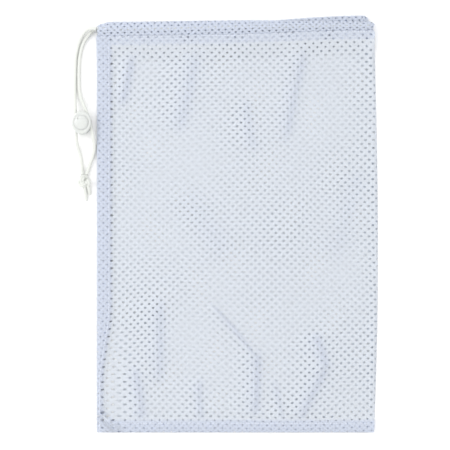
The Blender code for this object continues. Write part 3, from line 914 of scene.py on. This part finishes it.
def knit_grid(extent, place, clamp, layer_shade, seed, angle=0.0, pitch=(HALF_PITCH_X, HALF_PITCH_Y),
              warp=no_shift, shift=(0.0, 0.0), open_by=everywhere):
    """Points, faces and painted shade weights of knitted mesh with staggered holes over a flat rectangle.

    extent is (s0, s1, t0, t1) in the cloth. clamp(s, t) brings points onto the cloth's outline, and
    place(s, t, h) gives a point of the surface, h above the cloth's middle. warp(s, t) shifts the
    holes, open_by(s, t) is how far they are opened or closed, and the fourth argument gives at (s, t)
    the weight of the darker, bluer painted shade, 1 where the cloth lies doubled.
    """
    hole_share = 0.52
    shoulder_height = 0.72 * CLOTH_HALF
    rim_height = -0.1 * CLOTH_HALF
    bridge_height = 0.86
    unevenness = 0.10
    rng = np.random.default_rng(seed)
    s0, s1, t0, t1 = extent
    mid = ((s0 + s1) / 2 + shift[0], (t0 + t1) / 2 + shift[1])
    cos, sin = math.cos(angle), math.sin(angle)

    def to_cloth(column, row):
        x, y = column * pitch[0], row * pitch[1]
        s, t = mid[0] + x * cos - y * sin, mid[1] + x * sin + y * cos
        ds, dt = warp(s, t)
        return s + ds, t + dt

    def points(column, row, height):
        s, t = to_cloth(column, row)
        s, t = clamp(s.ravel(), t.ravel())
        return place(s, t, np.full(s.size, 1.0) * height), layer_shade(s, t)

    m, n = staggered_cells(extent, pitch)
    s, t = to_cloth(m[:, None] + RING[:, 0], n[:, None] + RING[:, 1])
    clamped_s, clamped_t = clamp(s, t)
    used = (np.abs(clamped_s - s) + np.abs(clamped_t - t) < 1e-9).any(axis=1)
    m, n = m[used], n[used]
    cells = len(m)

    corner_m, corner_n = m[:, None] + RING[:, 0], n[:, None] + RING[:, 1]
    keys = np.rint(2 * np.stack([corner_m, corner_n], axis=-1)).astype(int).reshape(-1, 2)
    keys, index = np.unique(keys, axis=0, return_inverse=True)
    size = 1 + unevenness * (rng.random(cells) - 0.5)
    lean = unevenness * (rng.random(cells) - 0.5)
    size = size * open_by(*to_cloth(m, n))
    around = np.radians(360 / CORNERS * np.arange(CORNERS))
    hole_m = m[:, None] + HOLE_RX / pitch[0] * size[:, None] * np.cos(around)
    hole_m = hole_m + lean[:, None] * np.sin(around)
    hole_n = n[:, None] + HOLE_RY / pitch[1] * size[:, None] * np.sin(around)
    shoulder_m = (1 - hole_share) * corner_m + hole_share * hole_m
    shoulder_n = (1 - hole_share) * corner_n + hole_share * hole_n

    on_loop = (keys.sum(axis=1) % 2 == 0) & (keys[:, 0] % 2 == 0)
    thick = np.where(on_loop, 1.0, bridge_height) * CLOTH_HALF
    parts = [
        points(keys[:, 0] / 2, keys[:, 1] / 2, thick),
        points(keys[:, 0] / 2, keys[:, 1] / 2, -thick),
        points(shoulder_m, shoulder_n, shoulder_height),
        points(hole_m, hole_n, rim_height),
    ]
    verts, weights = (np.concatenate(both) for both in zip(*parts))
    total = len(keys)
    top = index.reshape(cells, CORNERS)
    shoulder = 2 * total + np.arange(cells * CORNERS).reshape(cells, CORNERS)
    rim = shoulder + cells * CORNERS
    faces = [band(top, shoulder), band(shoulder, rim), band(rim, top + total), outline_band(top, total)]
    return verts, np.concatenate(faces), weights


def knit_sheet(name, material, *grids):
    """One piece of cloth made of the given grids."""
    starts = np.cumsum([0] + [len(grid[0]) for grid in grids])
    verts = np.concatenate([grid[0] for grid in grids])
    faces = np.concatenate([grid[1] + start for grid, start in zip(grids, starts)])
    obj = mesh_object(name, verts, faces, material)
    # Weight of the darker, bluer painted shade
    set_attribute(obj, "layer_shade", np.concatenate([grid[2] for grid in grids]))
    tidy_edges(obj)
    return obj


def tidy_edges(obj):
    """Close up what the outline has squeezed to nothing, and keep the rims of the holes crisp."""
    bm = bmesh.new()
    bm.from_mesh(obj.data)
    bmesh.ops.dissolve_degenerate(bm, edges=bm.edges, dist=0.02 * MM)
    bm.to_mesh(obj.data)
    bm.free()
    obj.data.shade_smooth()
    obj.data.set_sharp_from_angle(angle=math.radians(50))


def declare_cloth(piece, node):
    """Attaches a piece of cloth to the bag and hides the node it stands for."""
    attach(piece, "bag")
    stand_for(node)


# ---- the two sides of the bag


def upper_clamp(s, t):
    t = np.maximum(t, BOTTOM)
    t = np.minimum(t, casing_front_y(s) - casing_front_half(s))
    return np.clip(s, LEFT, right_edge(t)), t


def lower_clamp(s, t):
    inset = 0.2 * MM
    t = np.maximum(t, BOTTOM + inset)
    t = np.minimum(t, casing_back_y(s) - CASING_HALF_WIDTH)
    return np.clip(s, LEFT + inset, right_edge(t) - inset / 2), t


def lower_side_clamp(s, t):
    s, t = lower_clamp(s, t)
    return np.minimum(s, LOWER_SPLIT_X), t


def lower_main_clamp(s, t):
    s, t = lower_clamp(s, t)
    return np.maximum(s, LOWER_SPLIT_X), t


def along_seam(s, t):
    """Sideways shift that keeps the columns of holes along the side seam where it narrows."""
    full_to, fades_over = 14 * MM, 30 * MM
    return (seam_width(t) - SEAM_WIDTH) * (1 - ramp(s - LEFT - full_to, fades_over))


def beside_seam_warp(s, t):
    return along_seam(s, t), np.zeros_like(s)


def upper_warp(s, t):
    even_to, grows_over = 20 * MM, 40 * MM
    off_seam = ramp(s - LEFT - even_to, grows_over) * MM
    return waves(s, t, UPPER_SHIFT_X) * off_seam + along_seam(s, t), waves(s, t, UPPER_SHIFT_Y) * off_seam


def lower_warp(s, t):
    return waves(s, t, LOWER_SHIFT_X) * MM, waves(s, t, LOWER_SHIFT_Y) * MM


def on_heights(height):
    """A place function for cloth that lies flat, its middle at height(s, t)."""
    def place(s, t, h):
        return np.stack([s, t, height(s, t) + h], axis=1)
    return place


def at_mouth(s, t):
    """1 where the casing's hem lies under the cloth."""
    return ramp(FLANGE - below_casing(s, t), LAYER_EDGE)


def in_layers(s, t):
    """1 where seam allowances lie between the two sides of the bag, and 0.6 under the casing's hem: the
    weight of the painted shade there, and of holes pressed smaller.
    """
    side = 1 - ramp(s - LEFT - seam_width(t), LAYER_EDGE)
    hem = 1 - ramp(t - BOTTOM - HEM_WIDTH, LAYER_EDGE)
    return np.maximum(np.maximum(side, hem), 0.6 * at_mouth(s, t))


def upper_layer_shade(s, t):
    # Weight of the painted shade on the upper cloth: over the seam allowances and the casing's hem, on the
    # folds' steep flanks and in the grooves of the corner's crease
    return np.maximum(in_layers(s, t), 0.62 * fold_flank_shade(s, t)) + 0.9 * along_crease(s, t)


def upper_openness(s, t):
    """Holes are pulled open beside the side seam, and pressed smaller on the seams and folds."""
    beside_seam = bell(s - seam_width(t) + SEAM_WIDTH - SEAM_HOLES_X, 1.6 * MM)
    beside_seam = beside_seam * (0.5 + 0.5 * np.sin(170 * t) * np.sin(61 * t + 1.0))
    beside_hem = bell(t - BOTTOM - HEM_WIDTH - 1.5 * MM, 2.5 * MM)
    under_casing = bell(below_casing(s, t) - 15 * MM, 7 * MM)
    pulled = 0.45 * beside_seam + 0.5 * along_crease(s, t) - 0.36 * under_casing - 0.35 * beside_hem
    pressed = (1 - 0.36 * in_layers(s, t)) * (1 - 0.28 * fold_flank_shade(s, t)) * (1 + 0.34 * at_mouth(s, t))
    lifted = np.clip(fold_relief(s, t) / (2 * MM), 0, 1)
    return pressed * (1 - 0.14 * lifted) * (1.05 + pulled)


def seam_shift(extent):
    """Shift that brings a column of holes beside the side seam."""
    middle = (extent[0] + extent[1]) / 2
    columns = round((SEAM_HOLES_X - middle) / HALF_PITCH_X)
    return (SEAM_HOLES_X - middle - columns * HALF_PITCH_X, 0.0)


def make_panels(material):
    """The two sides of the bag. The lower one's holes are in line with the upper one's at the side seam."""
    extent = (LEFT, RIGHT, BOTTOM, PANEL_TOP + 6 * MM)
    upper = knit_sheet("upper_mesh", material, knit_grid(
        extent, on_heights(upper_middle), upper_clamp, upper_layer_shade, seed=3,
        warp=upper_warp, shift=seam_shift(extent), open_by=upper_openness,
    ))
    beside_seam = knit_grid(
        extent, on_heights(lower_middle), lower_side_clamp, in_layers, seed=5,
        warp=beside_seam_warp, shift=seam_shift(extent), open_by=upper_openness,
    )
    main = knit_grid(
        extent, on_heights(lower_middle), lower_main_clamp, in_layers, seed=4,
        warp=lower_warp, angle=LOWER_TURN, pitch=(HALF_PITCH_X * 0.99, HALF_PITCH_Y * 0.97),
    )
    lower = knit_sheet("lower_mesh", material, beside_seam, main)
    declare_cloth(upper, "front_panel")
    declare_cloth(lower, "back_panel")


# ---- seam allowances


def side_allowance_clamp(s, t):
    t = np.clip(t, BOTTOM + HEM_WIDTH, ALLOWANCE_TOP_Y)
    return np.clip(s, LEFT + ALLOWANCE_START, LEFT + seam_width(t)), t


def hem_allowance_clamp(s, t):
    t = np.clip(t, BOTTOM + ALLOWANCE_START, BOTTOM + HEM_WIDTH - 0.4 * MM)
    return np.clip(s, LEFT + ALLOWANCE_START, CASING_TURN_X), t


def pressed_holes(s, t):
    return np.full_like(s, 0.8)


def make_allowances(material):
    """Seam allowances: two layers of the same mesh, turned inside, along the side and the bottom."""
    turns = ((3.0, -2.0), (-4.0, 3.0))
    for layer, (z, (side_turn, hem_turn)) in enumerate(zip(ALLOWANCE_HEIGHTS, turns), start=1):
        def side_height(s, t, z=z):
            return z + ALLOWANCE_LIFT * ramp(t - ALLOWANCE_LIFT_Y, ALLOWANCE_LIFT_LENGTH)

        def hem_height(s, t, z=z):
            return np.full_like(s, z)

        # Both allowances take the darker, bluer painted shade all over
        side = knit_sheet(f"side_allowance_{layer}", material, knit_grid(
            (LEFT, LEFT + SEAM_WIDTH, BOTTOM, ALLOWANCE_TOP_Y), on_heights(side_height),
            side_allowance_clamp, everywhere, seed=10 + layer, angle=math.radians(side_turn),
            shift=(1.7 * MM * layer, 1.1 * MM), open_by=pressed_holes,
        ))
        hem = knit_sheet(f"hem_allowance_{layer}", material, knit_grid(
            (LEFT, CASING_TURN_X, BOTTOM, BOTTOM + HEM_WIDTH), on_heights(hem_height),
            hem_allowance_clamp, everywhere, seed=20 + layer, angle=math.radians(hem_turn),
            shift=(0.9 * MM, 1.9 * MM * layer), open_by=pressed_holes,
        ))
        declare_cloth(side, "side_seam")
        declare_cloth(hem, "bottom_seam")


# ---- casing


def casing_line():
    """Centre line of the casing: along the upper run, round the fold, back along the lower run."""
    steps = 120
    x = CASING_LEFT + (CASING_TURN_X - CASING_LEFT) * np.arange(steps) / steps
    front = np.stack([x, casing_front_y(x), np.full(steps, CASING_UPPER_Z)], axis=1)
    turn = np.linspace(0, 1, 17)
    angle = math.pi * (0.5 - turn)
    start_y, end_y = casing_front_y(CASING_TURN_X), casing_back_y(CASING_TURN_X)
    around = np.stack([
        CASING_TURN_X + CASING_TURN_RADIUS * np.cos(angle),
        start_y + (end_y - start_y) * turn,
        CASING_LOW_Z + CASING_TURN_RADIUS * (1 + np.sin(angle)),
    ], axis=1)
    back = np.stack([x, casing_back_y(x), np.full(steps, CASING_LOW_Z)], axis=1)[::-1]
    return np.concatenate([front, around, back])


def casing_section():
    """Outline of the flat tube round the cord: distance across, height, and length along the outline."""
    around = np.linspace(0, 2 * math.pi, 121)
    across = -CASING_HALF_WIDTH * np.cos(around)
    over_cord = CASING_HALF_HEIGHT + CORD_BULGE * bell(across, CORD_BULGE_WIDTH)
    closing = np.sqrt(np.sqrt(np.clip(1 - (across / CASING_HALF_WIDTH) ** 2, 0, 1)))
    height = over_cord * closing * np.sign(np.sin(around))
    return across, height, distances_along(np.column_stack([across, height]))


def columns_at(s, along, table):
    """Each column of table, read at the distance s."""
    return np.stack([np.interp(s, along, column) for column in table.T], axis=1)


def casing_puckers(s, a):
    """Slanting gathers, most beside the sewn line. a is the distance across the casing."""
    slant = 0.9
    height, pitch, fades_over = 0.20 * MM, 6.6 * MM, 4 * MM
    gathers = height * np.sin(2 * math.pi * (s + slant * a) / pitch)
    return gathers * (0.5 + 0.8 * np.exp(-(a + CASING_HALF_WIDTH) / fades_over))


def shape_casing_ends(points, a):
    """Let the casing's corner droop at the sewn side, and push it out and round it off at the fold."""
    pushed_out, cut_in = 1.3, 5.2
    near_end = np.clip(1 - (points[:, 0] - LEFT) / CORNER_DROOP_LENGTH, 0, 1) ** 2
    points[:, 1] -= CORNER_DROOP * near_end * np.clip((a / CASING_HALF_WIDTH + 1) / 2, 0, 1)
    at_fold = ramp(points[:, 0] - CASING_TURN_X + FOLD_ROUNDING, FOLD_ROUNDING)
    cut_back = ramp(points[:, 1] - CASING_CORNER_Y, 3 * MM)
    points[:, 0] += at_fold * (pushed_out - cut_in * cut_back) * MM


def make_casing(material, cord):
    """The turned-down hem that holds the drawcord, with its flange under the sewn line."""
    cloth_spacing, cord_spacing = 2 * MM, 0.9 * MM
    line = evenly(casing_line(), cloth_spacing)
    along = distances_along(line)
    tangents = np.gradient(line, axis=0)
    tangents[:, 1] = 0
    ups = np.cross(unit(tangents), [0.0, 1.0, 0.0])
    total = along[-1]
    across, height, round_it = casing_section()
    section = np.column_stack([across, height])
    wrap = round_it[-1]
    reach = 0.4 * MM
    joined_over = 1.5 * MM

    def place(s, t, h):
        on_tube = np.clip(t, 0, wrap)
        a, b = columns_at(on_tube, round_it, section).T
        ahead = columns_at(on_tube + reach, round_it, section)
        behind = columns_at(on_tube - reach, round_it, section)
        slope = unit(ahead - behind)
        base = columns_at(s, along, line)
        up = unit(columns_at(s, along, ups))
        upper_share = np.clip((base[:, 2] - CASING_LOW_Z) / (CASING_UPPER_Z - CASING_LOW_Z), 0, 1)
        narrower = 1 + (casing_front_half(base[:, 0]) / CASING_HALF_WIDTH - 1) * upper_share
        b = b + casing_puckers(s, a) * np.sign(b)
        on_casing = base + up * (b + slope[:, 0] * h)[:, None]
        on_casing[:, 1] += a * narrower - slope[:, 1] * h
        beyond = np.clip(t - wrap, 0, None)
        x, y = base[:, 0], base[:, 1] - CASING_HALF_WIDTH * narrower - beyond
        under_upper = upper_middle(x, y) - LAYER_STEP
        over_lower = lower_middle(x, y) + LAYER_STEP
        z = upper_share * under_upper + (1 - upper_share) * over_lower
        on_flange = np.stack([x, y, z - up[:, 2] * h], axis=1)
        out = on_casing + (on_flange - on_casing) * ramp(beyond, joined_over)[:, None]
        shape_casing_ends(out, a)
        return out

    def clamp(s, t):
        return np.clip(s, 0, total), np.clip(t, 0, wrap + FLANGE)

    def openness(s, t):
        return 0.72 + 0.2 * bell(np.minimum(t, wrap - t), 2.5 * MM) * (t < wrap)

    # The casing takes the darker, bluer painted shade all over
    cloth = knit_sheet("casing_mesh", material, knit_grid(
        (0, total, 0, wrap + FLANGE), place, clamp, everywhere, seed=30, angle=math.radians(1.0),
        pitch=(0.84 * HALF_PITCH_X, 0.80 * HALF_PITCH_Y), open_by=openness,
    ))
    declare_cloth(cloth, "drawcord_casing")
    cord_line = evenly(casing_line(), cord_spacing)
    run = braided_tube("casing_cord", cord_line, CORD_DIAMETER, cord, sides=16)
    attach(run, "bag")
    stand_for("drawcord_run")


# ---- stitching


def stitch(start, end, rings, sides):
    """Rings of one stitch: a short thread from start to end that dives into the cloth at both ends."""
    radius = 0.3 * MM
    rise = 0.45 * MM
    sunk = 0.25 * MM
    step = end - start
    forward = unit(step)
    aside = unit(np.cross([0.0, 0.0, 1.0], forward))
    up = np.cross(forward, aside)
    angles = 2 * math.pi * np.arange(sides) / sides
    verts = []
    for u in np.linspace(0, 1, rings):
        arch = math.sin(math.pi * u)
        r = radius * (0.45 + 0.55 * abs(arch) ** 0.6)
        centre = start + step * (0.06 + 0.88 * u) + up * (rise * arch - sunk)
        verts += [centre + aside * r * math.cos(k) + up * r * math.sin(k) for k in angles]
    return verts


def stitch_row(name, points, material, node):
    """A row of lockstitches along points."""
    stitch_length = 3.3 * MM
    rings, sides = 7, 6
    line = evenly(points, stitch_length)
    ends = [tuple(reversed(range(sides))), tuple(range((rings - 1) * sides, rings * sides))]
    pattern = strip_faces(rings, sides) + ends
    verts, faces = [], []
    for start, end in zip(line, line[1:]):
        faces += [tuple(len(verts) + corner for corner in face) for face in pattern]
        verts += stitch(start, end, rings, sides)
    row = mesh_object(name, verts, faces, material)
    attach(row, "bag")
    stand_for(node)


def make_stitching(material):
    """The side seam's, the bottom seam's and the casing's rows, which lie on the upper cloth."""
    side_start, hem_start, mouth_start, below = 3 * MM, 2 * MM, 4 * MM, 1.2 * MM
    y = np.linspace(BOTTOM + side_start, SIDE_STITCHES_TOP_Y, 300)
    side = np.stack([LEFT + seam_width(y) - SEWN_INSIDE, y], axis=1)
    x = np.linspace(LEFT + SEAM_WIDTH + hem_start, CASING_TURN_X, 300)
    hem = np.stack([x, np.full_like(x, BOTTOM + HEM_WIDTH - SEWN_INSIDE)], axis=1)
    x = np.linspace(LEFT + mouth_start, CASING_TURN_X, 300)
    mouth = np.stack([x, casing_front_y(x) - casing_front_half(x) - below], axis=1)
    for name, place, node in (
        ("side_stitches", side, "side_stitching"),
        ("hem_stitches", hem, "bottom_stitching"),
        ("casing_stitches", mouth, "casing_stitching"),
    ):
        z = upper_middle(place[:, 0], place[:, 1]) + CLOTH_HALF
        stitch_row(name, np.column_stack([place, z]), material, node)


# ---- cord lock


def make_spring(material):
    """Return spring, a fixed coil of wire at its length in the frame; on the lock it shortens as the button
    goes down.
    """
    centre = (SPRING_LOW + SPRING_HIGH) / 2
    wire = 0.5 * MM
    coil = (SPRING_HIGH.x - SPRING_LOW.x - wire) / 2
    turns = 7
    t = np.linspace(0, 1, turns * 24 + 1)
    low, high = SPRING_LOW.z + wire / 2, SPRING_HIGH.z - wire / 2
    line = np.stack([
        centre.x + coil * np.cos(2 * math.pi * turns * t),
        centre.y + coil * np.sin(2 * math.pi * turns * t),
        low + (high - low) * t,
    ], axis=1)
    spring = braided_tube("return_spring", line, wire, material, sides=10, relief=0.0)
    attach(spring, "lock")
    stand_for("lock_spring")
    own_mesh(spring)


def lathe(name, profile, centre, material, sides=48):
    """Closed solid of revolution about the vertical through centre. profile runs from axis to axis."""
    angles = 2 * math.pi * np.arange(sides) / sides
    verts = [
        (centre.x + r * math.cos(angle), centre.y + r * math.sin(angle), z)
        for r, z in profile[1:-1]
        for angle in angles
    ]
    verts += [(centre.x, centre.y, profile[0][1]), (centre.x, centre.y, profile[-1][1])]
    rings = len(profile) - 2
    return mesh_object(name, verts, strip_faces(rings, sides) + end_faces(rings, sides), material)


def combine(obj, tool, operation):
    """Cut, join or intersect obj with tool, which is used up."""
    step = obj.modifiers.new("step", "BOOLEAN")
    step.operation = operation
    step.solver = "EXACT"
    step.object = tool
    bpy.context.view_layer.update()
    shaped = bpy.data.meshes.new_from_object(obj.evaluated_get(bpy.context.evaluated_depsgraph_get()))
    obj.modifiers.clear()
    obj.data = shaped
    bpy.data.objects.remove(tool)


def finish_barrel(material):
    """The lock's body stays as it is in the frame, with a better material."""
    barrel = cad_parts["lock_barrel"]
    barrel.data.materials.clear()
    barrel.data.materials.append(material)


def make_button(material):
    """The push button: its clamping bar as in the frame, under a domed cap with a moulding dimple."""
    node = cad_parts["lock_plunger"]
    low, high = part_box("lock_plunger")
    reach = LOCK_HIGH.x - LOCK_CENTRE.x
    cap_radius = 7.76 * MM
    cap_low = LOCK_HIGH.z + 0.22 * MM
    rim = LOCK_HIGH.z + 0.55 * MM
    overlap = 0.08 * MM
    button = bpy.data.objects.new("push_button", node.data.copy())
    button.matrix_world = node.matrix_world
    bpy.context.scene.collection.objects.link(button)

    floor, cut = low.z - MM, cap_low + overlap
    bar_space = [(0, floor), (reach, floor), (reach, cut), (0, cut)]
    combine(button, lathe("below", bar_space, LOCK_CENTRE, material), "INTERSECT")

    dome = [(cap_radius * r, high.z - (high.z - rim) * r ** 2.6) for r in np.linspace(1, 0, 14)]
    cap = [(0, cap_low), (cap_radius, cap_low)] + dome
    combine(button, lathe("cap", cap, LOCK_CENTRE, material), "UNION")

    gate = LOCK_CENTRE + Vector((-3.1 * MM, 4.4 * MM, 0))
    deepest, floor_edge, above = high.z - 1.6 * MM, high.z - 1.4 * MM, high.z + MM
    dimple = [(0, deepest), (1.0 * MM, floor_edge), (1.5 * MM, above), (0, above)]
    combine(button, lathe("dimple", dimple, gate, material, sides=20), "DIFFERENCE")

    button.data.materials.clear()
    button.data.materials.append(material)
    button.data.polygons.foreach_set("material_index", [0] * len(button.data.polygons))
    button.data.shade_smooth()
    button.data.set_sharp_from_angle(angle=math.radians(40))
    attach(button, "plunger")
    stand_for("lock_plunger")


set_camera()
cord = cord_material()
make_cords(cord)
set_light()
add_floor()
cloth = knit_material()
make_panels(cloth)
make_allowances(cloth)
make_casing(cloth, cord)
make_stitching(thread_material())
make_spring(steel_material())
plastic = plastic_material()
finish_barrel(plastic)
make_button(plastic)
